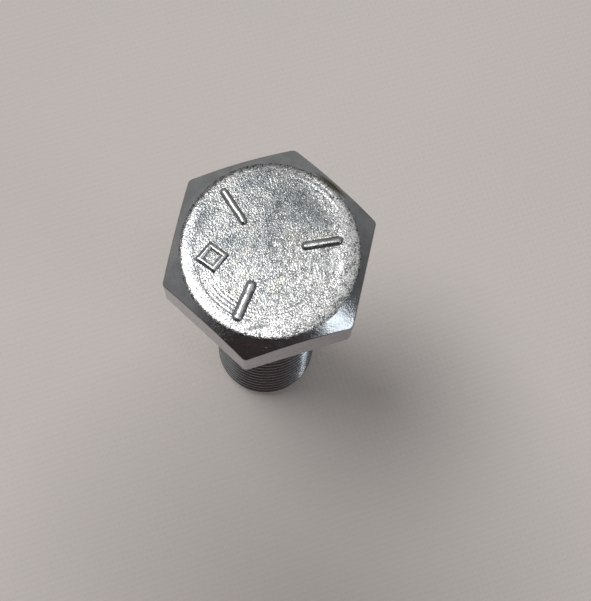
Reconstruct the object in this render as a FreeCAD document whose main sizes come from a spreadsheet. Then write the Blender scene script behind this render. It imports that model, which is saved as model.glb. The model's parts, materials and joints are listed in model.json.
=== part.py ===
import FreeCAD, Part
import math
import os

import Sketcher

# Hex cap screw, 1/2 inch - 13 UNC x 1 3/4 inch, strength grade shown by three raised lines.
# Frame: origin at the centre of the bearing face under the head, +Z towards the head,
# shank along -Z. Two corners of the hexagon lie on the X axis. Millimetres and degrees.
#
# The real bolt is one forging. It is divided here where a fastener drawing divides it, into
# closed solids that meet face to face: head, washer face, plain shank, thread, and the raised
# marks on top of the head.

PARTS_FOLDER = "parts"
SHEET = "Sizes"
INCH = 25.4

# Driving dimensions.
SIZES = {
    # hexagon
    "across_flats": 0.75 * INCH,
    "head_height": 7.75,
    "corner_radius": 0.6,
    "lower_edge_radius": 0.95,
    "top_circle_diameter": 17.3,
    "top_chamfer_angle": 30.0,
    "chamfer_cut_radius": 12.0,
    "chamfer_crown_radius": 200.0,
    "top_rim_radius": 1.2,
    # bearing face: a flat ring round the shank's collar
    "washer_face_diameter": 17.15,
    "washer_face_height": 0.45,
    # shank
    "bolt_length": 1.75 * INCH,
    "shank_diameter": 12.7,
    "fillet_radius": 0.6,
    "collar_diameter": 14.4,
    # thread: complete turns, then a run-out that climbs out of the metal towards the shank
    "complete_thread_length": 1.25 * INCH,
    "run_out_length": 2.6,
    "run_out_angle": 30.0,
    "thread_diameter": 12.38,
    "thread_depth": 1.12,
    "thread_pitch": INCH / 13,
    "thread_half_angle": 30.0,
    "thread_root_width": 0.42,
    "groove_overshoot": 0.12,
    "point_diameter": 9.6,
    "point_length": 1.5,
    # raised marks
    "mark_height": 0.3,
    "mark_edge_radius": 0.14,
    "lozenge_length": 3.5,
    "lozenge_width": 3.3,
    "lozenge_bar": 0.75,
    "face_mark_radius": 5.69,
    "face_mark_angle": 170.3,
    # The marking punch struck a little off centre, so each grade line has a place of its own:
    # its middle's distance from the axis and bearing, the way that it points, and its size.
    "grade_line_1_radius": 5.65,
    "grade_line_1_bearing": 112.2,
    "grade_line_1_direction": 106.0,
    "grade_line_1_length": 4.35,
    "grade_line_1_width": 0.85,
    "grade_line_2_radius": 5.64,
    "grade_line_2_bearing": 226.6,
    "grade_line_2_direction": 230.0,
    "grade_line_2_length": 4.4,
    "grade_line_2_width": 1.1,
    "grade_line_3_radius": 5.08,
    "grade_line_3_bearing": 350.7,
    "grade_line_3_direction": 352.5,
    "grade_line_3_length": 4.15,
    "grade_line_3_width": 0.92,
}

GRADE_LINES = ("grade_line_1", "grade_line_2", "grade_line_3")
HEX_SIDES = 6
COMPLETE_TURNS = 17


def fill_sheet(doc):
    """Write every driving dimension to the spreadsheet, one row each."""
    sheet = doc.addObject("Spreadsheet::Sheet", SHEET)
    for row, (alias, value) in enumerate(SIZES.items(), start=1):
        sheet.set(f"A{row}", alias)
        sheet.set(f"B{row}", repr(float(value)))
        sheet.setAlias(f"B{row}", alias)
    doc.recompute()


def bind(item, prop, expression):
    """Bind a property to an expression in which a sheet cell is written as <alias>."""
    item.setExpression(prop, expression.replace("<", SHEET + ".").replace(">", ""))


def new_body(doc, label):
    body = doc.addObject("PartDesign::Body", label)
    body.Label = label
    return body


def new_sketch(body, name, role):
    """A sketch on one of the body's own origin planes."""
    plane = next(item for item in body.Origin.OriginFeatures if item.Role == role)
    sketch = body.newObject("Sketcher::SketchObject", name)
    sketch.AttachmentSupport = [(plane, "")]
    sketch.MapMode = "FlatFace"
    return sketch


def lift(sketch, height):
    """Raise a sketch above its plane by an expression."""
    bind(sketch, "AttachmentOffset.Base.z", height)


def bind_size(sketch, index, name, expression):
    """Name a dimension and let an expression drive it."""
    sketch.renameConstraint(index, name)
    bind(sketch, f"Constraints.{name}", expression)


def add_outline(sketch, corners):
    """A closed outline of straight lines through (x, y) points; returns the lines."""
    points = [FreeCAD.Vector(x, y, 0) for x, y in corners]
    pairs = list(zip(points, points[1:] + points[:1]))
    lines = [sketch.addGeometry(Part.LineSegment(start, end), False) for start, end in pairs]
    for line, following in zip(lines, lines[1:] + lines[:1]):
        sketch.addConstraint(Sketcher.Constraint("Coincident", line, 2, following, 1))
    return lines


def add_bound_outline(sketch, corners):
    """A closed outline whose corners are pairs of (expression, drawn value)."""
    lines = add_outline(sketch, [(across[1], up[1]) for across, up in corners])
    for number, (line, corner) in enumerate(zip(lines, corners)):
        for axis, (expression, value) in zip("XY", corner):
            place = Sketcher.Constraint(f"Distance{axis}", -1, 1, line, 1, value)
            name = f"corner_{number}_{axis.lower()}"
            bind_size(sketch, sketch.addConstraint(place), name, expression)


def turned(body, sketch, kind, name):
    """A sketch on the XZ plane turned all the way round the bolt's axis."""
    feature = body.newObject(kind, name)
    feature.Profile = sketch
    feature.ReferenceAxis = (sketch, ["V_Axis"])
    feature.Angle = 360.0
    return feature


def rounded(body, base, wanted, radius, name):
    """Round the edges of the base feature that pass the test."""
    names = [f"Edge{i}" for i, edge in enumerate(base.Shape.Edges, start=1) if wanted(edge)]
    fillet = body.newObject("PartDesign::Fillet", name)
    fillet.Base = (base, names)
    bind(fillet, "Radius", radius)
    return fillet


def lies_at(height):
    """A test for edges that lie in one horizontal plane."""
    return lambda edge: abs(edge.BoundBox.ZMin - height) + abs(edge.BoundBox.ZMax - height) < 1e-5


def is_upright(edge):
    return abs(edge.tangentAt(edge.FirstParameter).z) > 0.99


def draw_chamfer_cut(sketch):
    """Outline of the metal that the top chamfer removes; its slope is very slightly crowned."""
    top = SIZES["head_height"]
    inner = SIZES["top_circle_diameter"] / 2
    outer = SIZES["chamfer_cut_radius"]
    angle = math.radians(SIZES["top_chamfer_angle"])
    crown = SIZES["chamfer_crown_radius"]
    low = top - (outer - inner) * math.tan(angle)
    half_chord = (outer - inner) / math.cos(angle) / 2
    rise = crown - math.sqrt(crown ** 2 - half_chord ** 2)
    corners = [FreeCAD.Vector(inner, top, 0), FreeCAD.Vector(outer, top, 0), FreeCAD.Vector(outer, low, 0)]
    middle = (corners[0] + corners[2]) * 0.5 + FreeCAD.Vector(math.sin(angle), math.cos(angle), 0) * rise

    upper = sketch.addGeometry(Part.LineSegment(corners[0], corners[1]), False)
    side = sketch.addGeometry(Part.LineSegment(corners[1], corners[2]), False)
    slope = sketch.addGeometry(Part.Arc(corners[2], middle, corners[0]), False)
    arc = sketch.Geometry[slope]
    starts_low = arc.StartPoint.distanceToPoint(corners[2]) < arc.StartPoint.distanceToPoint(corners[0])
    low_end, high_end = (1, 2) if starts_low else (2, 1)
    sketch.addConstraint(Sketcher.Constraint("Coincident", upper, 2, side, 1))
    sketch.addConstraint(Sketcher.Constraint("Coincident", side, 2, slope, low_end))
    sketch.addConstraint(Sketcher.Constraint("Coincident", slope, high_end, upper, 1))
    drop = "(<chamfer_cut_radius> - <top_circle_diameter> / 2) * tan(<top_chamfer_angle>)"
    for name, kind, line, value, expression in (
        ("inner", "DistanceX", upper, inner, "<top_circle_diameter> / 2"),
        ("inner_height", "DistanceY", upper, top, "<head_height>"),
        ("outer", "DistanceX", side, outer, "<chamfer_cut_radius>"),
        ("outer_height", "DistanceY", side, top, "<head_height>"),
    ):
        index = sketch.addConstraint(Sketcher.Constraint(kind, -1, 1, line, 1, value))
        bind_size(sketch, index, name, expression)
    for name, kind, value, expression in (
        ("low_end", "DistanceX", outer, "<chamfer_cut_radius>"),
        ("low_end_height", "DistanceY", low, f"<head_height> - {drop}"),
    ):
        index = sketch.addConstraint(Sketcher.Constraint(kind, -1, 1, side, 2, value))
        bind_size(sketch, index, name, expression)
    index = sketch.addConstraint(Sketcher.Constraint("Radius", slope, crown))
    bind_size(sketch, index, "crown", "<chamfer_crown_radius>")


def build_head(doc):
    """Hexagonal prism with rounded corners, rounded lower edge and a conical top chamfer."""
    flats = SIZES["across_flats"]
    top = SIZES["head_height"]
    corner_distance = flats / 2 / math.cos(math.pi / HEX_SIDES)

    body = new_body(doc, "head")
    outline = new_sketch(body, "hexagon", "XY_Plane")
    lift(outline, "<washer_face_height>")
    guide = Part.Circle(FreeCAD.Vector(), FreeCAD.Vector(0, 0, 1), corner_distance)
    circle = outline.addGeometry(guide, True)
    outline.addConstraint(Sketcher.Constraint("Coincident", circle, 3, -1, 1))
    radius = outline.addConstraint(Sketcher.Constraint("Radius", circle, corner_distance))
    bind_size(outline, radius, "corner_distance", "<across_flats> / 2 / cos(30)")
    turns = [2 * math.pi * side / HEX_SIDES for side in range(HEX_SIDES)]
    corners = [(corner_distance * math.cos(turn), corner_distance * math.sin(turn)) for turn in turns]
    lines = add_outline(outline, corners)
    for line in lines:
        outline.addConstraint(Sketcher.Constraint("PointOnObject", line, 1, circle))
    for line in lines[1:]:
        outline.addConstraint(Sketcher.Constraint("Equal", lines[0], line))
    outline.addConstraint(Sketcher.Constraint("PointOnObject", lines[0], 1, -1))

    prism = body.newObject("PartDesign::Pad", "prism")
    prism.Profile = outline
    bind(prism, "Length", "<head_height> - <washer_face_height>")
    doc.recompute()
    corner_rounding = rounded(body, prism, is_upright, "<corner_radius>", "corner_rounding")
    doc.recompute()
    at_bottom = lies_at(SIZES["washer_face_height"])
    rounded(body, corner_rounding, at_bottom, "<lower_edge_radius>", "lower_edge_rounding")

    # The cone leaves a round face on top and reaches lowest at the six corners.
    cone = new_sketch(body, "top_chamfer_outline", "XZ_Plane")
    draw_chamfer_cut(cone)
    chamfer = turned(body, cone, "PartDesign::Groove", "top_chamfer")
    doc.recompute()
    rounded(body, chamfer, lies_at(top), "<top_rim_radius>", "top_rim_rounding")
    return body


def build_washer_face(doc):
    """Flat ring under the hexagon; its hole is filled by the shank's collar."""
    body = new_body(doc, "washer_face")
    ring = new_sketch(body, "ring", "XY_Plane")
    bounds = (
        ("outer", "<washer_face_diameter> / 2", SIZES["washer_face_diameter"] / 2),
        ("inner", "<collar_diameter> / 2", SIZES["collar_diameter"] / 2),
    )
    for name, expression, value in bounds:
        edge = Part.Circle(FreeCAD.Vector(), FreeCAD.Vector(0, 0, 1), value)
        circle = ring.addGeometry(edge, False)
        ring.addConstraint(Sketcher.Constraint("Coincident", circle, 3, -1, 1))
        radius = ring.addConstraint(Sketcher.Constraint("Radius", circle, value))
        bind_size(ring, radius, f"{name}_radius", expression)
    pad = body.newObject("PartDesign::Pad", "ring_pad")
    pad.Profile = ring
    bind(pad, "Length", "<washer_face_height>")
    return body


def build_shank(doc):
    """Plain round shank, from the underside of the hexagon to where the run-out begins."""
    radius = SIZES["shank_diameter"] / 2
    collar = SIZES["collar_diameter"] / 2
    length = SIZES["bolt_length"] - SIZES["complete_thread_length"] - SIZES["run_out_length"]
    end = "-(<bolt_length> - <complete_thread_length> - <run_out_length>)"

    body = new_body(doc, "shank")
    outline = new_sketch(body, "shank_outline", "XZ_Plane")
    add_bound_outline(outline, [
        (("0", 0.0), ("<washer_face_height>", SIZES["washer_face_height"])),
        (("<collar_diameter> / 2", collar), ("<washer_face_height>", SIZES["washer_face_height"])),
        (("<collar_diameter> / 2", collar), ("0", 0.0)),
        (("<shank_diameter> / 2", radius), ("0", 0.0)),
        (("<shank_diameter> / 2", radius), (end, -length)),
        (("0", 0.0), (end, -length)),
    ])
    bar = turned(body, outline, "PartDesign::Revolution", "shank_bar")
    doc.recompute()
    rounded(body, bar, lambda edge: is_ring(edge, radius, 0.0), "<fillet_radius>", "underhead_fillet")
    return body


def is_ring(edge, radius, height):
    """Whether an edge is a circle of this radius round the axis at this height."""
    box = edge.BoundBox
    return lies_at(height)(edge) and abs(box.XMax - radius) < 1e-5


def groove_profile(body, name, height_expression, height):
    """Cross-section of the thread groove, centred at one height on the XZ plane."""
    crest = SIZES["thread_diameter"] / 2
    overshoot = SIZES["groove_overshoot"]
    root = crest - SIZES["thread_depth"]
    half_root = SIZES["thread_root_width"] / 2
    rise = (SIZES["thread_depth"] + overshoot) * math.tan(math.radians(SIZES["thread_half_angle"]))
    half_mouth = half_root + rise

    root_text = "<thread_diameter> / 2 - <thread_depth>"
    mouth_text = "<thread_diameter> / 2 + <groove_overshoot>"
    rise_text = "(<thread_depth> + <groove_overshoot>) * tan(<thread_half_angle>)"
    sketch = new_sketch(body, name, "XZ_Plane")
    corners = []
    for across, across_value, half, half_value, side in (
        (root_text, root, "<thread_root_width> / 2", half_root, -1),
        (mouth_text, crest + overshoot, f"(<thread_root_width> / 2 + {rise_text})", half_mouth, -1),
        (mouth_text, crest + overshoot, f"(<thread_root_width> / 2 + {rise_text})", half_mouth, 1),
        (root_text, root, "<thread_root_width> / 2", half_root, 1),
    ):
        up = f"{height_expression} + {side} * {half}"
        corners.append(((across, across_value), (up, height + side * half_value)))
    add_bound_outline(sketch, corners)
    return sketch


def cut_groove(body, sketch, name, length, angle):
    """Cut a right-hand helical groove that climbs from the sketch towards the head."""
    groove = body.newObject("PartDesign::SubtractiveHelix", name)
    groove.Profile = sketch
    groove.ReferenceAxis = (sketch, ["V_Axis"])
    groove.Mode = "pitch-height-angle"
    groove.LeftHanded = False
    bind(groove, "Pitch", "<thread_pitch>")
    bind(groove, "Height", length)
    bind(groove, "Angle", angle)
    return groove


def build_thread(doc):
    """Threaded end: chamfered point, complete turns, and a run-out that fades into the shank."""
    crest = SIZES["thread_diameter"] / 2
    shank = SIZES["shank_diameter"] / 2
    point = SIZES["point_diameter"] / 2
    tip = -SIZES["bolt_length"]
    start = tip + SIZES["complete_thread_length"] + SIZES["run_out_length"]
    start_text = "-<bolt_length> + <complete_thread_length> + <run_out_length>"
    step = shank - crest

    body = new_body(doc, "thread")
    outline = new_sketch(body, "blank_outline", "XZ_Plane")
    add_bound_outline(outline, [
        (("0", 0.0), (start_text, start)),
        (("<shank_diameter> / 2", shank), (start_text, start)),
        (("<thread_diameter> / 2", crest),
         (f"{start_text} - (<shank_diameter> - <thread_diameter>) / 2", start - step)),
        (("<thread_diameter> / 2", crest),
         ("-<bolt_length> + <point_length>", tip + SIZES["point_length"])),
        (("<point_diameter> / 2", point), ("-<bolt_length>", tip)),
        (("0", 0.0), ("-<bolt_length>", tip)),
    ])
    turned(body, outline, "PartDesign::Revolution", "blank")
    doc.recompute()

    # The groove starts below the point and makes whole turns, so the run-out joins on cleanly.
    climb = COMPLETE_TURNS * SIZES["thread_pitch"]
    join = tip + SIZES["complete_thread_length"]
    join_text = "-<bolt_length> + <complete_thread_length>"
    low_text = f"{join_text} - {COMPLETE_TURNS} * <thread_pitch>"
    section = groove_profile(body, "groove_section", low_text, join - climb)
    cut_groove(body, section, "thread_groove", f"{COMPLETE_TURNS} * <thread_pitch>", "0")
    doc.recompute()
    run_out = groove_profile(body, "run_out_section", join_text, join)
    cut_groove(body, run_out, "run_out_groove", "<run_out_length>", "<run_out_angle>")
    doc.recompute()
    return body


def place_on_head(body, radius, bearing, direction):
    """Put a mark on top of the head: its middle by radius and bearing, then turned in place."""
    body.Placement = FreeCAD.Placement(FreeCAD.Vector(), FreeCAD.Vector(0, 0, 1), 0)
    bind(body, "Placement.Base.x", f"{radius} * cos({bearing})")
    bind(body, "Placement.Base.y", f"{radius} * sin({bearing})")
    bind(body, "Placement.Base.z", "<head_height>")
    bind(body, "Placement.Rotation.Angle", direction)


def raise_mark(doc, body, sketch):
    """Stand a mark's outline up from the head and round its upper edges."""
    pad = body.newObject("PartDesign::Pad", f"{body.Label}_pad")
    pad.Profile = sketch
    bind(pad, "Length", "<mark_height>")
    doc.recompute()
    upper = lies_at(SIZES["mark_height"])
    rounded(body, pad, upper, "<mark_edge_radius>", f"{body.Label}_rounding")


def build_grade_line(doc, label):
    """One raised bar with round ends."""
    radius = SIZES[f"{label}_width"] / 2
    half = SIZES[f"{label}_length"] / 2 - radius
    up = FreeCAD.Vector(0, 0, 1)

    body = new_body(doc, label)
    sketch = new_sketch(body, f"{label}_outline", "XY_Plane")
    upper = sketch.addGeometry(
        Part.LineSegment(FreeCAD.Vector(half, radius, 0), FreeCAD.Vector(-half, radius, 0)), False)
    lower = sketch.addGeometry(
        Part.LineSegment(FreeCAD.Vector(-half, -radius, 0), FreeCAD.Vector(half, -radius, 0)), False)
    ends = []
    for side, first in ((-1, math.pi / 2), (1, -math.pi / 2)):
        circle = Part.Circle(FreeCAD.Vector(side * half, 0, 0), up, radius)
        ends.append(sketch.addGeometry(Part.ArcOfCircle(circle, first, first + math.pi), False))
    left, right = ends
    for one, one_end, other, other_end in (
        (upper, 2, left, 1), (left, 2, lower, 1), (lower, 2, right, 1), (right, 2, upper, 1),
    ):
        sketch.addConstraint(Sketcher.Constraint("Tangent", one, one_end, other, other_end))
    sketch.addConstraint(Sketcher.Constraint("Symmetric", left, 3, right, 3, -1, 1))
    sketch.addConstraint(Sketcher.Constraint("PointOnObject", right, 3, -1))
    end_radius = sketch.addConstraint(Sketcher.Constraint("Radius", right, radius))
    bind_size(sketch, end_radius, "end_radius", f"<{label}_width> / 2")
    reach = sketch.addConstraint(Sketcher.Constraint("DistanceX", -1, 1, right, 3, half))
    bind_size(sketch, reach, "reach", f"(<{label}_length> - <{label}_width>) / 2")
    raise_mark(doc, body, sketch)
    place_on_head(body, f"<{label}_radius>", f"<{label}_bearing>", f"<{label}_direction>")
    return body


def build_face_mark(doc):
    """Plain raised lozenge frame."""
    along = SIZES["lozenge_length"] / 2
    across = SIZES["lozenge_width"] / 2
    inner = 1 - SIZES["lozenge_bar"] * math.hypot(along, across) / (along * across)
    along_text = "<lozenge_length> / 2"
    across_text = "<lozenge_width> / 2"
    inner_text = (f"(1 - <lozenge_bar> * sqrt(({along_text}) ^ 2 + ({across_text}) ^ 2)"
                  f" / ({along_text} * {across_text}))")

    body = new_body(doc, "face_mark")
    for name, scale, scale_text in (("outer", 1.0, "1"), ("inner", inner, inner_text)):
        sketch = new_sketch(body, f"{name}_lozenge", "XY_Plane")
        add_bound_outline(sketch, [
            ((f"{scale_text} * {along_text}", scale * along), ("0", 0.0)),
            (("0", 0.0), (f"{scale_text} * {across_text}", scale * across)),
            ((f"-{scale_text} * {along_text}", -scale * along), ("0", 0.0)),
            (("0", 0.0), (f"-{scale_text} * {across_text}", -scale * across)),
        ])
        kind = "PartDesign::Pad" if name == "outer" else "PartDesign::Pocket"
        feature = body.newObject(kind, f"{name}_step")
        feature.Profile = sketch
        feature.Reversed = kind == "PartDesign::Pocket"
        bind(feature, "Length", "<mark_height>")
        doc.recompute()
    upper = lies_at(SIZES["mark_height"])
    rounded(body, feature, upper, "<mark_edge_radius>", "face_mark_rounding")
    place_on_head(body, "<face_mark_radius>", "<face_mark_angle>", "<face_mark_angle>")
    return body


def check(doc, bodies):
    """Stop if any object failed to recompute or any sub-part is not one valid solid."""
    for item in doc.Objects:
        if "Invalid" in item.State or "Error" in item.State:
            raise RuntimeError(f"{item.Label} failed: {item.State}")
    for body in bodies:
        shape = body.Shape
        if shape.isNull() or not shape.isValid() or len(shape.Solids) != 1:
            raise RuntimeError(f"{body.Label} is not one valid solid")


def main():
    doc = FreeCAD.newDocument("hex_bolt")
    fill_sheet(doc)
    bodies = [build_head(doc), build_washer_face(doc), build_shank(doc), build_thread(doc)]
    bodies += [build_grade_line(doc, label) for label in GRADE_LINES]
    bodies.append(build_face_mark(doc))
    doc.recompute()
    check(doc, bodies)
    os.makedirs(PARTS_FOLDER, exist_ok=True)
    for body in bodies:
        body.Shape.exportStep(os.path.join(PARTS_FOLDER, f"{body.Label}.step"))
        print(f"{body.Label}: {body.Shape.Volume:.2f} mm3")


main()
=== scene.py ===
"""Looks of a hex cap screw: bright zinc plate, a grainy struck top with raised marks, a worn rim.

Every section of the bolt gets a finely divided mesh worked out from the same sizes as its CAD
node, with rounded edges and a little real unevenness. Lengths are in millimetres until a mesh,
a light or the camera is made, where MM turns them into metres.
"""

import json
import math

import bmesh
import bpy
import numpy as np
from mathutils import Matrix, Vector


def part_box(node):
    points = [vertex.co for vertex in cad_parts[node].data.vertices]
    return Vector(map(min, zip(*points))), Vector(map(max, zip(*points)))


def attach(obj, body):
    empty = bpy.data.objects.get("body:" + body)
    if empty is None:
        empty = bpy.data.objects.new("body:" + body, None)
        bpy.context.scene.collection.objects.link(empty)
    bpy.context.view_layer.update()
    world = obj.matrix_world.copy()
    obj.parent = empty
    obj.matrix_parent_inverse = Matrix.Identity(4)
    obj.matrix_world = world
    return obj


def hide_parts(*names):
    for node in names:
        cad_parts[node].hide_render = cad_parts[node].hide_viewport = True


MM = 0.001
TAU = 2 * math.pi

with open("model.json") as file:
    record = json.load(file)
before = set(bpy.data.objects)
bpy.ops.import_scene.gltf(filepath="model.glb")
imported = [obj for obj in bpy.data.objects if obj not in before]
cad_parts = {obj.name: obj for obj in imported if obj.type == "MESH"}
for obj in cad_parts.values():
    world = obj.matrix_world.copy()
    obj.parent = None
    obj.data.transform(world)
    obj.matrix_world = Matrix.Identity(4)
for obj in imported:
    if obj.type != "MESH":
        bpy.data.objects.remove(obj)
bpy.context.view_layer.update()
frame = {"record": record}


def node_box(name):
    """Lowest and highest corners of a CAD node, in millimetres."""
    low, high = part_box(name)
    return Vector(low) / MM, Vector(high) / MM


HEAD_LOW, HEAD_HIGH = node_box("head")
WASHER_HIGH = node_box("washer_face")[1]
SHANK_LOW, SHANK_HIGH = node_box("shank")
THREAD_LOW, THREAD_HIGH = node_box("thread")
MOUNTS = {mount["name"]: mount for mount in frame["record"]["mounts"]}

# Head
TOP = HEAD_HIGH.z
UNDERSIDE = HEAD_LOW.z
HALF_FLATS = HEAD_HIGH.y
CORNER_RADIUS = 0.6
LOWER_EDGE_RADIUS = 0.95
UPPER_EDGE_RADIUS = 0.22
RIM_START = 8.44
RIM_RADIUS = 1.2
CROWN = {2: 0.04, 14: 0.07}  # drop at the rim, for each power of the distance from the middle
CHAMFER = math.radians(30)
DIE_CENTRE = (-0.25, 0.1)

# Marks of use, each x, y, half length, half width and direction in degrees, seen from above
SCRATCHES = [(0.62, 0.02, 1.25, 0.07, -30), (-1.6, -2.9, 1.4, 0.05, 20), (3.4, -2.2, 1.1, 0.05, 65),
             (1.9, 3.4, 1.3, 0.05, -10)]
NICK = (7.7, 4.66, 2.1, 0.42, 122.7)
NICK_COLOUR = (0.20, 0.17, 0.11, 1)
CHAMFER_GRIT = [(-7.0, -6.4, 3.4, 1.6, -30), (-2.5, -9.0, 2.6, 0.9, 0)]

# Low lip left by the die just inside the rim: the middle of its arc, its reach, and its radius
LIP_MIDDLE = (6.3, 4.9)
LIP_REACH = 3.0
LIP_RADIUS = 7.95

# Where the top is painted darker or lighter: an ellipse each, written like the marks of use,
# with how softly it ends and how strong it is. The darker ones are partly painted shade and
# reflection, partly the plate's own tone; the lighter ones are partly painted highlight, partly
# the plate's own tone, and the last two, along the rim, are painted glints.
DULL_AND_SHADED_PATCHES = [(3.2, 4.3, 5.0, 3.1, -42, 0.7, 0.85), (-5.2, 4.9, 3.8, 1.7, 46, 0.7, 1.0),
                (-6.9, 3.7, 2.2, 1.1, 62, 0.6, 1.0), (1.2, 7.1, 3.6, 1.3, -8, 0.8, 0.9),
                (5.3, 1.5, 1.9, 1.5, 0, 0.8, 0.8), (-3.5, 2.1, 2.4, 1.4, 10, 0.8, 0.9),
                (-0.3, 2.0, 5.2, 3.6, -10, 0.8, 0.55)]
FRESH_AND_GLINT_PATCHES = [(3.4, -4.4, 6.0, 4.4, 25, 0.9, 0.4), (6.2, -3.4, 5.0, 2.0, 61, 0.8, 0.9),
                 (4.1, -0.7, 2.2, 1.1, 0, 0.9, 0.6), (3.8, -6.4, 3.0, 1.4, 30, 0.8, 0.6),
                 (-0.5, -6.7, 5.0, 1.8, 0, 0.8, 0.6), (7.4, 2.9, 4.2, 1.4, -69, 0.7, 1.0),
                 (6.6, 4.6, 3.2, 0.4, -56, 0.7, 1.0)]

# Shank and thread
SHANK_RADIUS = MOUNTS["shank"]["dims"]["r_mm"]
COLLAR_RADIUS = SHANK_HIGH.x
FILLET_RADIUS = 0.6
PITCH = 25.4 / 13
COMPLETE_THREAD = 31.75
RUN_OUT = 2.6
RUN_OUT_ANGLE = math.radians(30)
CREST_RADIUS = 6.19
THREAD_DEPTH = 1.12
ROOT_SOFTNESS = 0.06
CREST_SOFTNESS = 0.02
ROOT_WIDTH = 0.42
FLANK = math.radians(30)
POINT_RADIUS = 4.8
POINT_LENGTH = 1.5
TIP = THREAD_LOW.z
JOIN = TIP + COMPLETE_THREAD

# Raised marks
MARK_HEIGHT = 0.3
MARK_WEAR = 0.93    # part of the height that is left
MARK_SINK = 0.03    # how far a mark's edge lies below the top
MARK_FOOT = 0.25    # how far its closed base reaches into the head
GRADE_LINES = {
    "grade_line_1": {"radius": 5.65, "bearing": 112.2, "direction": 106.0, "length": 4.35, "width": 0.85},
    "grade_line_2": {"radius": 5.64, "bearing": 226.6, "direction": 230.0, "length": 4.4, "width": 1.1},
    "grade_line_3": {"radius": 5.08, "bearing": 350.7, "direction": 352.5, "length": 4.15, "width": 0.92},
}
LOZENGE = {"radius": 5.69, "bearing": 170.3, "half_length": 1.75, "half_width": 1.65, "bar": 0.75}

# View: the camera looks at a point a little off the middle of the head.
VIEW_TARGET = Vector((0.84, -5.51, TOP))
VIEW_DISTANCE = 133.0
VIEW_AZIMUTH = math.radians(24.92)
VIEW_ELEVATION = math.radians(77.17)
VIEW_ROLL = math.radians(7.76)
LENS = 82.85


# ---------------------------------------------------------------- shapes

def lattice_noise(points, cell, seed):
    """Smooth noise between -1 and 1 at an array of points, with one random value per cell."""
    size = 64
    table = np.random.default_rng(seed).uniform(-1, 1, (size, size, size))
    place = points / cell
    base = np.floor(place).astype(int)
    part = place - base
    part = part * part * (3 - 2 * part)
    total = np.zeros(points.shape[:-1])
    for corner in np.ndindex(2, 2, 2):
        index = (base + corner) % size
        weight = np.prod(np.where(corner, part, 1 - part), axis=-1)
        total += weight * table[index[..., 0], index[..., 1], index[..., 2]]
    return total


def ease(low, high, value):
    """Smooth step from 0 at low to 1 at high."""
    part = np.clip((value - low) / (high - low), 0, 1)
    return part * part * (3 - 2 * part)


def make_object(name, points, faces, zones=None):
    """A smooth-shaded object from points in millimetres; zones gives each face's material."""
    mesh = bpy.data.meshes.new(name)
    mesh.from_pydata((np.asarray(points) * MM).tolist(), [], faces)
    if zones is not None:
        mesh.polygons.foreach_set("material_index", np.asarray(zones, dtype=np.int32))
    mesh.shade_smooth()
    mesh.update()
    thing = bpy.data.objects.new(name, mesh)
    bpy.context.scene.collection.objects.link(thing)
    return thing


def ring_faces(rows, count, closed_rows=False):
    """Quads between rows of points that each run once round."""
    faces = []
    last = rows if closed_rows else rows - 1
    for row in range(last):
        here, there = row * count, (row + 1) % rows * count
        for i in range(count):
            j = (i + 1) % count
            faces.append((here + i, here + j, there + j, there + i))
    return faces


def turned_object(name, rows, zones=None, closed_rows=False):
    """Skin rows of points, each once round; open ends are closed by a fan to their middle."""
    rows = np.asarray(rows)
    count = rows.shape[1]
    points = rows.reshape(-1, 3)
    faces = ring_faces(len(rows), count, closed_rows)
    marks = None if zones is None else [zones[k] for k in range(len(rows) - 1) for _ in range(count)]
    if not closed_rows:
        first, last = len(points), len(points) + 1
        points = np.vstack([points, rows[0].mean(axis=0), rows[-1].mean(axis=0)])
        end = (len(rows) - 1) * count
        for i in range(count):
            j = (i + 1) % count
            faces.append((first, j, i))
            faces.append((last, end + i, end + j))
        if marks is not None:
            marks += [zones[0], zones[-1]] * count
    return make_object(name, points, faces, marks)


def around(count):
    """Angles evenly spaced once round."""
    return np.arange(count) * TAU / count


def circle_row(angles, radius, height):
    """One row of points; radius and height may be numbers or arrays along the row."""
    flat = np.zeros_like(angles)
    return np.stack([radius * np.cos(angles), radius * np.sin(angles), height + flat], axis=-1)


def hexagon_radius(angles, inset=0.0):
    """Distance from the axis to a hexagon with rounded corners, drawn in by an inset."""
    apothem = HALF_FLATS - inset
    corner = max(CORNER_RADIUS - 0.5 * inset, 0.12)
    # one corner lies on the X axis, so the middle of a flat is 30 degrees round from it
    off_corner = np.abs((angles + TAU / 12) % (TAU / 6) - TAU / 12)
    off_flat = TAU / 12 - off_corner
    straight = apothem / np.cos(off_flat)
    centre = (apothem - corner) / math.cos(TAU / 12)
    arc = centre * np.cos(off_corner) + np.sqrt(
        np.maximum(corner ** 2 - (centre * np.sin(off_corner)) ** 2, 0))
    on_arc = apothem * np.tan(off_flat) > (apothem - corner) * math.tan(TAU / 12)
    return np.where(on_arc, arc, straight)


def head_top_relief(points):
    """How far the struck top lies below its highest plane: crown, dish, die rings and dents."""
    flat = points.copy()
    flat[..., 2] = 0
    x, y = points[..., 0], points[..., 1]
    radius = np.hypot(x, y)
    die_radius = np.hypot(x - DIE_CENTRE[0], y - DIE_CENTRE[1])
    crown = -sum(drop * (radius / RIM_START) ** power for power, drop in CROWN.items())
    dish = -0.022 * (1 - ease(6.8, 7.6, die_radius)) - 0.008 * (1 - ease(4.9, 5.4, die_radius))
    waves = 0.008 * (lattice_noise(flat, 3.1, 11) - 1) + 0.004 * (lattice_noise(flat, 1.3, 12) - 1)
    pip = -0.03 * np.exp(-((x - 0.45) ** 2 + (y - 0.3) ** 2) / 0.16)
    near_lip = np.exp(-((x - LIP_MIDDLE[0]) ** 2 + (y - LIP_MIDDLE[1]) ** 2) / LIP_REACH ** 2)
    lip = -0.03 * (1 - np.exp(-((radius - LIP_RADIUS) / 0.16) ** 2)) * near_lip
    inside = (dish + waves + pip) * (1 - ease(7.2, RIM_START, radius))
    return crown + inside + lip * (1 - ease(8.2, RIM_START, radius))


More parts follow.
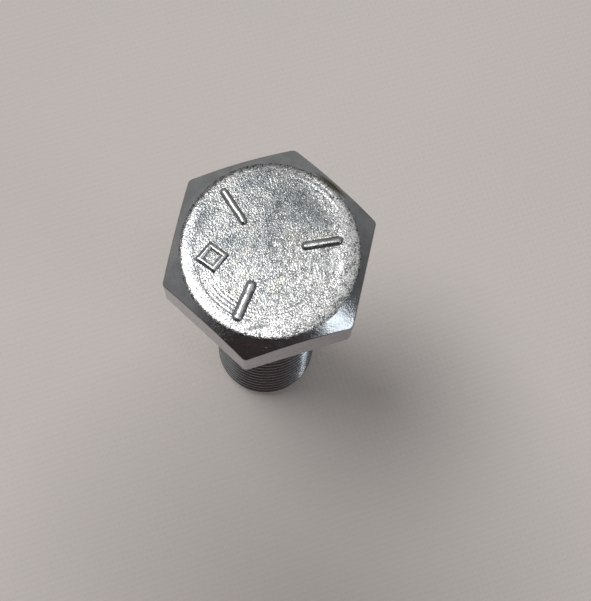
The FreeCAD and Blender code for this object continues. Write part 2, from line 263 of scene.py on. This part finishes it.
def nick_depth(points):
    """Depth of the nick struck across the chamfer."""
    x, y, half_length, half_width, bearing = NICK
    turn = math.radians(bearing)
    along = (points[:, 0] - x) * math.cos(turn) + (points[:, 1] - y) * math.sin(turn)
    across = (points[:, 1] - y) * math.cos(turn) - (points[:, 0] - x) * math.sin(turn)
    return 0.09 * np.exp(-(along / half_length) ** 4 - (across / half_width) ** 2)


def build_head():
    """The hexagon head: round top face, crowned rim, chamfer cone, flats and eased lower edge."""
    angles = around(720)
    outer = hexagon_radius(angles)
    rows, zones = [], []

    # round top face, out to where the rim begins to turn over
    for radius in np.linspace(0.06, RIM_START, 90):
        row = circle_row(angles, radius, TOP)
        row[:, 2] += head_top_relief(row)
        rows.append(row)
        zones.append(0)

    # rim
    rim_top = TOP - sum(CROWN.values())
    first_turn = math.atan(sum(power * drop for power, drop in CROWN.items()) / RIM_START)
    for turn in np.linspace(first_turn, CHAMFER, 9)[1:]:
        radius = RIM_START + RIM_RADIUS * (math.sin(turn) - math.sin(first_turn))
        height = rim_top - RIM_RADIUS * (math.cos(first_turn) - math.cos(turn))
        rows.append(circle_row(angles, radius, height))
        zones.append(0)

    # chamfer cone, from the rim to the rounded edge above the flats
    edge_in = hexagon_radius(angles, UPPER_EDGE_RADIUS * (1 - math.sin(CHAMFER)))
    for share in np.linspace(0, 1, 17)[1:]:
        reach = (np.maximum(edge_in, radius + 0.05) - radius) * share
        row = circle_row(angles, radius + reach, height - reach * math.tan(CHAMFER))
        row[:, 2] += 0.006 * (lattice_noise(row, 1.4, 21) - 1) * math.sin(math.pi * share)
        row[:, 2] -= nick_depth(row)
        rows.append(row)
        zones.append(1)

    # rounded edge between the chamfer and the flats
    arc_height = rows[-1][:, 2] - UPPER_EDGE_RADIUS * math.cos(CHAMFER)
    for turn in np.linspace(TAU / 4 - CHAMFER, 0, 6)[1:]:
        inset = UPPER_EDGE_RADIUS * (1 - math.cos(turn))
        rows.append(circle_row(angles, hexagon_radius(angles, inset),
                               arc_height + UPPER_EDGE_RADIUS * math.sin(turn)))
        zones.append(2)

    # flats
    low = UNDERSIDE + LOWER_EDGE_RADIUS
    for share in np.linspace(0, 1, 25)[1:]:
        row = circle_row(angles, outer, arc_height * (1 - share) + low * share)
        dent = 0.012 * (lattice_noise(row, 2.2, 31) - 1) * math.sin(math.pi * share)
        row[:, :2] *= (1 + dent / outer)[:, None]
        rows.append(row)
        zones.append(2)

    # eased lower edge, then the flat underside in to the washer face
    for turn in np.linspace(0, TAU / 4, 11)[1:]:
        inset = LOWER_EDGE_RADIUS * (1 - math.cos(turn))
        height = low - LOWER_EDGE_RADIUS * math.sin(turn)
        rows.append(circle_row(angles, hexagon_radius(angles, inset), height))
        zones.append(2)
    underside = hexagon_radius(angles, LOWER_EDGE_RADIUS)
    for share in np.linspace(0, 1, 6)[1:]:
        rows.append(circle_row(angles, underside + (COLLAR_RADIUS - underside) * share, UNDERSIDE))
        zones.append(2)
    return turned_object("hex_head", rows[::-1], zones[::-1])


def build_washer_face():
    """Flat bearing ring under the hexagon, with an eased outer edge."""
    angles = around(360)
    outer, inner, ease_edge = WASHER_HIGH.x, COLLAR_RADIUS, 0.1
    outline = [(inner, WASHER_HIGH.z), (outer, WASHER_HIGH.z), (outer, ease_edge)]
    outline += [(outer - ease_edge * (1 - math.cos(turn)), ease_edge * (1 - math.sin(turn)))
                for turn in np.linspace(0, TAU / 4, 5)[1:]]
    outline += [(outer + (inner - outer) * share, 0.0) for share in np.linspace(0.2, 1, 8)]
    rows = []
    for radius, height in outline:
        row = circle_row(angles, radius, height)
        if inner + 0.05 < radius < outer - 0.05 and height <= 0:
            row[:, 2] += 0.004 * (1 + lattice_noise(row, 0.9, 41))
        rows.append(row)
    return turned_object("bearing_ring", rows[::-1], closed_rows=True)


def build_shank():
    """Plain shank with its collar and the fillet under the head."""
    angles = around(360)
    foot = SHANK_RADIUS + FILLET_RADIUS
    outline = [(COLLAR_RADIUS, SHANK_HIGH.z), (COLLAR_RADIUS, 0.0), (foot, 0.0)]
    outline += [(foot - FILLET_RADIUS * math.sin(turn), -FILLET_RADIUS * (1 - math.cos(turn)))
                for turn in np.linspace(0, TAU / 4, 10)[1:]]
    outline += [(SHANK_RADIUS, height) for height in np.linspace(-FILLET_RADIUS, SHANK_LOW.z, 40)[1:]]
    rows = []
    for radius, height in outline:
        row = circle_row(angles, radius, height)
        if SHANK_LOW.z < height < -FILLET_RADIUS:
            row[:, :2] *= (1 + 0.004 * (lattice_noise(row, 1.7, 51) - 1) / radius)[:, None]
        rows.append(row)
    return turned_object("plain_shank", rows[::-1])


def blank_radius(height):
    """Radius of the metal before the thread is cut, along the threaded end."""
    step = CREST_RADIUS + np.maximum(0, height - (THREAD_HIGH.z - (SHANK_RADIUS - CREST_RADIUS)))
    point = POINT_RADIUS + (height - TIP) / POINT_LENGTH * (CREST_RADIUS - POINT_RADIUS)
    return np.minimum(step, point)


def thread_radius(angles, height):
    """Radius of the threaded surface: a right-hand groove that shallows out at the run-out."""
    turns = (height - JOIN) / PITCH - angles / TAU
    from_groove = (turns - np.round(turns)) * PITCH
    flank = (np.abs(from_groove) - ROOT_WIDTH / 2) / math.tan(FLANK)
    flank = 0.5 * (flank + np.hypot(flank, ROOT_SOFTNESS))
    lift = np.maximum(0, height - from_groove - JOIN) * math.tan(RUN_OUT_ANGLE)
    groove = CREST_RADIUS - THREAD_DEPTH + flank + lift
    blank = blank_radius(height)
    return 0.5 * (groove + blank - np.hypot(groove - blank, CREST_SOFTNESS))


def thread_surface(angles):
    """Rows of points that climb with the helix, so crests and roots stay crisp."""
    half_mouth = ROOT_WIDTH / 2 + THREAD_DEPTH * math.tan(FLANK)
    steps = [0, 0.5 * ROOT_WIDTH, 0.75 * ROOT_WIDTH, 0.42, 0.55, 0.68, half_mouth - 0.02, half_mouth,
             half_mouth + 0.02]
    across = sorted([-step for step in steps[1:]] + steps + [-PITCH / 2])
    low_turn = math.floor((TIP - JOIN) / PITCH) - 1
    high_turn = math.ceil((THREAD_HIGH.z - JOIN) / PITCH) + 1
    heights = np.array([np.clip(JOIN + PITCH * (turn + angles / TAU) + offset, TIP, THREAD_HIGH.z)
                        for turn in range(low_turn, high_turn + 1) for offset in across])
    radii = thread_radius(angles[None, :], heights)
    points = np.stack([radii * np.cos(angles), radii * np.sin(angles), heights], axis=-1)
    inner = (heights > TIP + 0.05) & (heights < THREAD_HIGH.z - 0.3)
    rough = np.where(inner, 0.006 * (lattice_noise(points, 0.8, 61) - 1), 0)
    points[..., :2] *= (1 + rough / radii)[..., None]
    return points, len(across)


def thread_faces(heights, rows_per_turn):
    """Quads between helical rows; once round, a row meets the row that lies one turn above it."""
    total, count = heights.shape
    faces = []
    for row in range(total - 1):
        for i in range(count):
            j, shift = (i + 1, 0) if i + 1 < count else (0, rows_per_turn)
            if row + 1 + shift >= total:
                continue
            corners = [(row, i), (row + shift, j), (row + 1 + shift, j), (row + 1, i)]
            spread = [heights[corner] for corner in corners]
            if max(spread) - min(spread) > 1e-9:
                faces.append(tuple(line * count + column for line, column in corners))
    return faces


def thread_ends(angles):
    """The point's end face, dished a little by the shear, and a flat cover under the shank."""
    point_rows = []
    for radius in np.linspace(POINT_RADIUS, 0.05, 26):
        row = circle_row(angles, radius, TIP)
        dish = 0.12 * (1 - (radius / POINT_RADIUS) ** 2)
        torn = 0.03 * (1 + lattice_noise(row, 0.7, 62)) * ease(POINT_RADIUS, POINT_RADIUS - 0.6, radius)
        row[:, 2] += dish + torn
        point_rows.append(row)
    cover_rows = [circle_row(angles, radius, THREAD_HIGH.z)
                  for radius in np.linspace(SHANK_RADIUS, 0.05, 3)]
    return point_rows, cover_rows


def build_thread():
    """Threaded end: the helical surface, its point and its cover, joined where they meet."""
    angles = around(240)
    count = len(angles)
    surface, rows_per_turn = thread_surface(angles)
    faces = thread_faces(surface[..., 2], rows_per_turn)
    blocks = [surface.reshape(-1, 3)]
    base = len(blocks[0])
    for rows, order in zip(thread_ends(angles), (-1, 1)):
        middle = tuple(range((len(rows) - 1) * count, len(rows) * count))
        faces += [tuple(base + index for index in face)[::order]
                  for face in ring_faces(len(rows), count) + [middle]]
        blocks.append(np.array(rows).reshape(-1, 3))
        base += len(blocks[-1])
    thing = make_object("threaded_end", np.vstack(blocks), faces)
    weld(thing)
    return thing


def weld(thing):
    """Join points that lie on each other, and drop the faces that this leaves without area."""
    work = bmesh.new()
    work.from_mesh(thing.data)
    bmesh.ops.remove_doubles(work, verts=work.verts, dist=0.002 * MM)
    bmesh.ops.dissolve_degenerate(work, edges=work.edges, dist=0.001 * MM)
    loose = [vert for vert in work.verts if not vert.link_faces]
    bmesh.ops.delete(work, geom=loose, context="VERTS")
    bmesh.ops.recalc_face_normals(work, faces=work.faces)
    work.to_mesh(thing.data)
    work.free()
    thing.data.shade_smooth()


def place_mark(points, radius, bearing, direction):
    """Move a mark's points from its own middle to its place on top of the head."""
    turn = Matrix.Rotation(math.radians(direction), 3, "Z")
    bearing = math.radians(bearing)
    moved = points @ np.array(turn).T
    return moved + np.array((radius * math.cos(bearing), radius * math.sin(bearing), TOP))


def mark_rise(share):
    """Height of a pressed mark above the top of the head, from its edge (0) to its crest (1)."""
    ridge = np.clip(np.sin(np.clip(share, 0, 1) * math.pi / 2) ** 0.8, 0, 1)
    return MARK_HEIGHT * float(ridge) * MARK_WEAR - MARK_SINK


def build_grade_line(name, radius, bearing, direction, length, width):
    """A pressed bar with round ends, soft shoulders and a slightly wandering crest."""
    half_width = width / 2
    half_straight = length / 2 - half_width
    side = np.linspace(-half_straight, half_straight, 40)
    cap = np.linspace(0, math.pi, 17)[1:-1]
    rows = []
    for share in [0, 0, *np.linspace(0.05, 0.97, 12)]:
        reach = half_width * (1 - share)
        right = np.stack([half_straight + reach * np.sin(cap), -reach * np.cos(cap)], axis=-1)
        left = np.stack([-half_straight - reach * np.sin(cap), reach * np.cos(cap)], axis=-1)
        lower = np.stack([side, np.full_like(side, -reach)], axis=-1)
        upper = np.stack([side[::-1], np.full_like(side, reach)], axis=-1)
        outline = np.vstack([lower, right, upper, left])
        rows.append(np.column_stack([outline, np.full(len(outline), mark_rise(share))]))
    rows[0][:, 2] = -MARK_FOOT
    rows = np.array(rows)
    rows[2:, :, 1] += 0.03 * lattice_noise(rows[2:] + bearing, 0.7, 71)
    rows[2:, :, 2] += 0.018 * (lattice_noise(rows[2:] + bearing, 0.5, 72) - 1)
    return turned_object(f"raised_{name}", place_mark(rows, radius, bearing, direction))


def build_lozenge():
    """A plain pressed lozenge frame."""
    corners = [Vector((LOZENGE["half_length"], 0)), Vector((0, LOZENGE["half_width"])),
               Vector((-LOZENGE["half_length"], 0)), Vector((0, -LOZENGE["half_width"]))]
    bar = LOZENGE["bar"]
    middle_scale = 1 - bar / 2 * math.hypot(*corners[0], *corners[1]) / (corners[0].x * corners[1].y)
    per_side = 28
    line, outward = [], []
    for k in range(4):
        start, end = corners[k] * middle_scale, corners[(k + 1) % 4] * middle_scale
        along = (end - start).normalized()
        normal = Vector((along.y, -along.x))
        previous = (start - corners[k - 1] * middle_scale).normalized()
        mitre = (normal + Vector((previous.y, -previous.x))).normalized()
        for step in range(per_side):
            line.append(start.lerp(end, step / per_side))
            outward.append(mitre / mitre.dot(normal) if step == 0 else normal)
    line, outward = np.array(line), np.array(outward)
    rows = []
    for offset in np.linspace(-1, 1, 17):
        height = np.full(len(line), mark_rise(1 - abs(offset)))
        rows.append(np.column_stack([line + outward * offset * bar / 2, height]))
    rows = np.array(rows)
    rows[1:-1, :, 2] += 0.018 * (lattice_noise(rows[1:-1], 0.5, 73) - 1)
    floor_rows = [np.column_stack([line + outward * offset * bar / 2, np.full(len(line), -MARK_FOOT)])
                  for offset in (1, -1)]
    rows = np.concatenate([rows, np.array(floor_rows)])
    placed = place_mark(rows, LOZENGE["radius"], LOZENGE["bearing"], LOZENGE["bearing"])
    return turned_object("raised_lozenge", placed, closed_rows=True)


# ---------------------------------------------------------------- materials

class Nodes:
    """Short names for building a node tree."""

    def __init__(self, tree):
        self.tree = tree
        tree.nodes.clear()

    def add(self, kind, settings=None, **inputs):
        node = self.tree.nodes.new(kind)
        for name, value in (settings or {}).items():
            setattr(node, name, value)
        for name, value in inputs.items():
            self.feed(node, name.replace("_", " "), value)
        return node

    def feed(self, node, name, value):
        socket = node.inputs[int(name)] if name.isdigit() else node.inputs[name]
        if isinstance(value, bpy.types.NodeSocket):
            self.tree.links.new(value, socket)
        else:
            socket.default_value = value

    def maths(self, operation, *values):
        node = self.tree.nodes.new("ShaderNodeMath")
        node.operation = operation
        for index, value in enumerate(values):
            self.feed(node, str(index), value)
        return node.outputs[0]

    def vectors(self, operation, one, two=None):
        """Vector arithmetic on a moving vector and a fixed one."""
        node = self.add("ShaderNodeVectorMath", {"operation": operation}, Vector=one)
        if two is not None:
            node.inputs[1].default_value = two
        single = operation in ("LENGTH", "DISTANCE", "DOT_PRODUCT")
        return node.outputs["Value" if single else "Vector"]

    def noise(self, where, scale, detail=3.0, roughness=0.55, distortion=0.0):
        node = self.add("ShaderNodeTexNoise", Vector=where, Scale=scale, Detail=detail,
                        Roughness=roughness, Distortion=distortion)
        return node.outputs["Fac"]

    def spread(self, value, low, high, to_low=0.0, to_high=1.0):
        node = self.tree.nodes.new("ShaderNodeMapRange")
        for index, entry in enumerate((value, low, high, to_low, to_high)):
            self.feed(node, str(index), entry)
        return node.outputs[0]

    def mix(self, share, one, two):
        node = self.tree.nodes.new("ShaderNodeMix")
        node.data_type = "RGBA"
        self.feed(node, "0", share)
        self.feed(node, "6", one)
        self.feed(node, "7", two)
        return node.outputs[2]

    def bump(self, height, strength, distance_mm, normal=None):
        node = self.add("ShaderNodeBump", Height=height, Strength=strength, Distance=distance_mm * MM)
        if normal is not None:
            self.feed(node, "Normal", normal)
        return node.outputs["Normal"]

    def millimetres(self):
        place = self.add("ShaderNodeTexCoord").outputs["Object"]
        node = self.add("ShaderNodeVectorMath", {"operation": "SCALE"}, Vector=place, Scale=1 / MM)
        return node.outputs["Vector"]

    def stretched(self, where, scale, turn=0.0):
        node = self.add("ShaderNodeMapping", Vector=where)
        node.inputs["Scale"].default_value = scale
        node.inputs["Rotation"].default_value = (0, 0, turn)
        return node.outputs["Vector"]

    def patch(self, where, x, y, half_length, half_width, turn, soft=0.6):
        """1 inside an ellipse seen from above, falling to 0 at its edge."""
        moved = self.vectors("SUBTRACT", where, (x, y, 0))
        turned = self.add("ShaderNodeVectorRotate", {"rotation_type": "Z_AXIS"},
                          Vector=moved, Angle=-math.radians(turn))
        scaled = self.vectors("MULTIPLY", turned.outputs["Vector"], (1 / half_length, 1 / half_width, 0))
        return self.spread(self.vectors("LENGTH", scaled), 1.0, 1.0 - soft)

    def patches(self, where, places):
        """The strongest of several patches; the last entry of each place is its strength."""
        shares = [self.maths("MULTIPLY", self.patch(where, *place), strength)
                  for *place, strength in places]
        total = shares[0]
        for share in shares[1:]:
            total = self.maths("MAXIMUM", total, share)
        return total

    def surface(self, colour, roughness, normal, metallic=1.0):
        shader = self.add("ShaderNodeBsdfPrincipled", Roughness=roughness, Normal=normal)
        self.feed(shader, "Base Color", colour)
        shader.inputs["Metallic"].default_value = metallic
        output = self.add("ShaderNodeOutputMaterial")
        self.tree.links.new(shader.outputs[0], output.inputs["Surface"])
        return shader


def new_material(name):
    material = bpy.data.materials.new(name)
    material.use_nodes = True
    return material, Nodes(material.node_tree)


def struck_zinc():
    """Top of the head: bright, grainy zinc with die rings and a few scratches, a painted highlight towards
    the rim, and patches of painted highlight and shade.
    """
    material, nodes = new_material("zinc_struck_top")
    where = nodes.millimetres()
    speckle = nodes.noise(where, 5.2, 1.5, 0.6)
    fleck = nodes.noise(where, 7.8, 2.0, 0.65)
    cloud = nodes.noise(where, 0.34, 3.0)
    radius = nodes.vectors("DISTANCE", where, (*DIE_CENTRE, TOP))
    rings = nodes.maths("SINE", nodes.maths("MULTIPLY", radius, TAU / 0.4))
    ring_share = nodes.maths("MULTIPLY", nodes.spread(radius, 5.5, 5.8), nodes.spread(radius, 7.5, 7.2))
    worn = nodes.maths("MAXIMUM", nodes.patch(where, -5.2, -4.2, 4.2, 2.2, -40),
                       nodes.patch(where, -0.5, -6.0, 3.2, 1.0, 5))
    rings = nodes.maths("MULTIPLY", rings, nodes.maths("MULTIPLY", ring_share, worn))
    scratch = nodes.noise(nodes.stretched(where, (0.25, 9.0, 1.0), 0.5), 1.2, 2.0)
    scratch = nodes.spread(scratch, 0.66, 0.74, 0.0, 0.5)
    for place in SCRATCHES:
        scratch = nodes.maths("MAXIMUM", scratch, nodes.patch(where, *place))
    blotch = nodes.spread(nodes.noise(where, 0.8, 3.0), 0.3, 0.6, 1.0, 0.55)
    # Darker patches on top: partly painted shade and reflection, partly the plate's own tone.
    dull_and_shade = nodes.maths("MULTIPLY", nodes.patches(where, DULL_AND_SHADED_PATCHES), blotch)
    bright = nodes.mix(nodes.spread(cloud, 0.35, 0.65), (0.44, 0.455, 0.465, 1), (0.55, 0.555, 0.55, 1))
    tint = nodes.spread(nodes.noise(where, 1.1, 3.0), 0.52, 0.66, 0.0, 0.6)
    bright = nodes.mix(tint, bright, (0.50, 0.485, 0.43, 1))
    # Painted highlight: the colour lightens out towards the rim, from 7.2 to 8 mm from the die's middle.
    bright = nodes.mix(nodes.spread(radius, 7.2, 8.0), bright, (0.60, 0.60, 0.59, 1))
    # Paler patches: partly painted highlight, partly the plate's own tone; the last two, along the rim, are
    # painted glints.
    bright = nodes.mix(nodes.patches(where, FRESH_AND_GLINT_PATCHES), bright, (0.82, 0.825, 0.82, 1))
    bright = nodes.mix(dull_and_shade, bright, (0.16, 0.175, 0.19, 1))
    bright = nodes.mix(nodes.patch(where, -3.8, -6.9, 1.7, 0.28, -6), bright, (0.2, 0.2, 0.2, 1))
    bright = nodes.mix(nodes.spread(rings, 0.3, 1.0, 0.0, 0.55), bright, (0.22, 0.23, 0.24, 1))
    dark = (0.08, 0.09, 0.10, 1)
    mottle = nodes.spread(nodes.noise(where, 2.0, 1.0, 0.6), 0.35, 0.65, 0.06, -0.06)
    fleck = nodes.maths("ADD", fleck, mottle)
    colour = nodes.mix(nodes.spread(fleck, 0.37, 0.57), dark, bright)
    colour = nodes.mix(nodes.patch(where, *NICK), colour, NICK_COLOUR)
    roughness = nodes.spread(nodes.noise(where, 1.6, 3.0), 0.3, 0.7, 0.2, 0.27)
    normal = nodes.bump(speckle, 1.0, 0.03)
    normal = nodes.bump(rings, 1.0, 0.006, normal)
    normal = nodes.bump(scratch, 1.0, 0.01, normal)
    nodes.surface(colour, roughness, normal)
    return material


def smooth_zinc(name, colour_low, colour_high, rough_low, rough_high, grain=0.012, streak=(1, 1, 1),
                streak_depth=0.012, grit=(), nick=None, crest_shade_beyond=None):
    """Plated surface that a die left smooth: cloudy tone, light streaks and a faint grain.

    It may have pitted patches, a nick, and painted shade on the thread's crest where it reaches furthest.
    """
    material, nodes = new_material(name)
    where = nodes.millimetres()
    cloud = nodes.noise(where, 0.55, 4.0)
    streaks = nodes.noise(nodes.stretched(where, streak), 2.2, 3.0)
    fine = nodes.noise(where, 6.0, 3.0)
    colour = nodes.mix(nodes.spread(cloud, 0.35, 0.68), (*colour_low, 1), (*colour_high, 1))
    spots = nodes.spread(nodes.noise(where, 3.7, 2.0), 0.66, 0.74, 0.0, 0.5)
    colour = nodes.mix(spots, colour, (0.3, 0.3, 0.29, 1))
    # Painted shade: the thread's crest is darkened where it reaches furthest, which dims its reflection.
    if crest_shade_beyond:
        reach = nodes.vectors("LENGTH", nodes.vectors("MULTIPLY", where, (1, 1, 0)))
        height = nodes.add("ShaderNodeSeparateXYZ", Vector=where).outputs["Z"]
        crest_shade = nodes.maths("MULTIPLY", nodes.spread(height, JOIN, JOIN - PITCH, 0.0, 0.9),
                           nodes.spread(reach, crest_shade_beyond - 0.02, crest_shade_beyond))
        colour = nodes.mix(crest_shade, colour, (0.12, 0.12, 0.12, 1))
    roughness = nodes.spread(streaks, 0.3, 0.7, rough_low, rough_high)
    normal = nodes.bump(fine, 1.0, grain)
    normal = nodes.bump(streaks, 1.0, streak_depth, normal)
    for place in grit:
        share = nodes.patch(where, *place)
        pits = nodes.maths("MULTIPLY", nodes.noise(where, 4.6, 1.5), share)
        normal = nodes.bump(pits, 1.0, 0.05, normal)
    if nick:
        colour = nodes.mix(nodes.patch(where, *nick), colour, NICK_COLOUR)
    nodes.surface(colour, roughness, normal)
    return material


def cloth():
    """Plain pale woven cloth, with a painted shadow on one side of the bolt."""
    material, nodes = new_material("pale_cloth")
    where = nodes.millimetres()
    tone = nodes.noise(where, 0.02, 3.0)
    light = nodes.mix(tone, (0.635, 0.59, 0.565, 1), (0.695, 0.645, 0.62, 1))
    # Painted shadow: the cloth's colour darkens towards a point beside the bolt, at (-5, -38) mm.
    dull_and_shade = nodes.spread(nodes.vectors("DISTANCE", where, (-5, -38, TIP)), 6, 46, 0.75, 0.0)
    colour = nodes.mix(dull_and_shade, light, (0.37, 0.342, 0.327, 1))
    warp = nodes.add("ShaderNodeTexWave", {"wave_type": "BANDS", "bands_direction": "X"},
                     Vector=where, Scale=0.42, Distortion=0.6, Detail=1.0)
    weft = nodes.add("ShaderNodeTexWave", {"wave_type": "BANDS", "bands_direction": "Y"},
                     Vector=where, Scale=0.42, Distortion=0.6, Detail=1.0)
    weave = nodes.maths("MAXIMUM", warp.outputs["Fac"], weft.outputs["Fac"])
    normal = nodes.bump(weave, 0.7, 0.06)
    shader = nodes.surface(colour, 0.9, normal, metallic=0.0)
    shader.inputs["Specular IOR Level"].default_value = 0.1
    return material


# ---------------------------------------------------------------- pieces

def finish_piece(piece, node, materials):
    """Give a piece its materials, put it under its body and hide the CAD node it stands in for."""
    for material in materials:
        piece.data.materials.append(material)
    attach(piece, "root")
    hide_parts(node)


def build_bolt():
    """Every section of the bolt, each in place of its CAD node."""
    top = struck_zinc()
    chamfer = smooth_zinc("zinc_chamfer", (0.55, 0.56, 0.57), (0.72, 0.73, 0.73), 0.11, 0.18, grain=0.015,
                          grit=CHAMFER_GRIT, nick=NICK)
    flats = smooth_zinc("zinc_flats", (0.40, 0.385, 0.42), (0.49, 0.47, 0.51), 0.2, 0.28,
                        grain=0.006, streak=(1.0, 1.0, 0.3), streak_depth=0.006)
    shank = smooth_zinc("zinc_shank", (0.53, 0.55, 0.57), (0.64, 0.66, 0.68), 0.18, 0.3,
                        streak=(0.6, 0.6, 3.0))
    thread = smooth_zinc("zinc_thread", (0.58, 0.60, 0.62), (0.68, 0.70, 0.72), 0.12, 0.17,
                         grain=0.004, streak_depth=0.004, crest_shade_beyond=CREST_RADIUS - 0.015)
    mark = smooth_zinc("zinc_mark", (0.55, 0.56, 0.57), (0.70, 0.71, 0.71), 0.18, 0.3, grain=0.02)
    finish_piece(build_head(), "head", [top, chamfer, flats])
    finish_piece(build_washer_face(), "washer_face", [flats])
    finish_piece(build_shank(), "shank", [shank])
    finish_piece(build_thread(), "thread", [thread])
    for name, place in GRADE_LINES.items():
        finish_piece(build_grade_line(name, **place), name, [mark])
    finish_piece(build_lozenge(), "face_mark", [mark])


def build_floor():
    """A wide plain cloth under the point of the bolt."""
    half, steps = 900.0, 160
    line = np.sign(np.linspace(-1, 1, steps)) * np.abs(np.linspace(-1, 1, steps)) ** 3 * half
    x, y = np.meshgrid(line, line)
    points = np.stack([x, y, np.full_like(x, TIP)], axis=-1)
    distance = np.hypot(x, y)
    swell = ease(9, 60, distance)
    points[..., 2] -= 0.6 * swell * (1 + lattice_noise(points, 38.0, 81))
    faces = []
    for row in range(steps - 1):
        for column in range(steps - 1):
            corner = row * steps + column
            faces.append((corner, corner + 1, corner + steps + 1, corner + steps))
    floor = make_object("cloth_floor", points.reshape(-1, 3), faces)
    floor.data.materials.append(cloth())


# ---------------------------------------------------------------- light and camera

def direction(azimuth, elevation):
    """Unit vector towards a bearing (degrees from +X, turning to +Y) and an elevation."""
    azimuth, elevation = math.radians(azimuth), math.radians(elevation)
    flat = math.cos(elevation)
    return Vector((flat * math.cos(azimuth), flat * math.sin(azimuth), math.sin(elevation)))


def soft_light(name, azimuth, elevation, distance, width, height, power, colour):
    """An area light aimed at the head."""
    lamp = bpy.data.lights.new(name, "AREA")
    lamp.shape = "ELLIPSE"
    lamp.size, lamp.size_y = width * MM, height * MM
    lamp.energy = power
    lamp.color = colour
    holder = bpy.data.objects.new(name, lamp)
    towards = direction(azimuth, elevation)
    holder.location = towards * distance * MM
    holder.rotation_euler = (-towards).to_track_quat("-Z", "Y").to_euler()
    bpy.context.scene.collection.objects.link(holder)


def light_scene():
    """A soft light overhead, a fill, a window, and a room: a wall, a dim side and a ceiling."""
    soft_light("overhead_light", 141, 71.5, 1500, 640, 640, 10.2, (1.0, 0.985, 0.965))
    soft_light("fill_light", 262, 76, 900, 260, 150, 0.4, (1.0, 0.99, 0.98))
    soft_light("window_light", -51, 37.5, 900, 240, 320, 0.37, (0.86, 0.93, 1.0))
    world = bpy.data.worlds.new("studio")
    world.use_nodes = True
    nodes = Nodes(world.node_tree)
    where = nodes.add("ShaderNodeTexCoord").outputs["Generated"]
    wall = nodes.vectors("DOT_PRODUCT", where, direction(100, 25))
    colour = nodes.mix(nodes.spread(wall, -0.35, 0.75),
                       (0.072, 0.072, 0.078, 1), (0.26, 0.26, 0.26, 1))
    dim = nodes.vectors("DOT_PRODUCT", where, direction(243, 40))
    colour = nodes.mix(nodes.spread(dim, 0.76, 0.93), colour, (0.04, 0.03, 0.03, 1))
    ceiling = nodes.vectors("DOT_PRODUCT", where, direction(25, 76))
    colour = nodes.mix(nodes.spread(ceiling, 0.76, 0.93), colour, (0.66, 0.665, 0.66, 1))
    background = nodes.add("ShaderNodeBackground", Color=colour, Strength=1.0)
    output = nodes.add("ShaderNodeOutputWorld")
    world.node_tree.links.new(background.outputs[0], output.inputs["Surface"])
    bpy.context.scene.world = world


def add_camera():
    """A camera above the head, seen at a steep angle with the shank running away below."""
    data = bpy.data.cameras.new("camera")
    data.lens = LENS
    data.clip_start, data.clip_end = 0.01, 20.0
    camera = bpy.data.objects.new("camera", data)
    flat = math.cos(VIEW_ELEVATION)
    look = Vector((math.sin(VIEW_AZIMUTH) * flat, math.cos(VIEW_AZIMUTH) * flat, -math.sin(VIEW_ELEVATION)))
    level = look.to_track_quat("-Z", "Y").to_matrix()
    camera.location = (VIEW_TARGET - look * VIEW_DISTANCE) * MM
    camera.rotation_euler = (level @ Matrix.Rotation(VIEW_ROLL, 3, "Z")).to_euler()
    bpy.context.scene.collection.objects.link(camera)
    bpy.context.scene.camera = camera


add_camera()
build_bolt()
build_floor()
light_scene()
bpy.context.scene.view_settings.view_transform = "Standard"
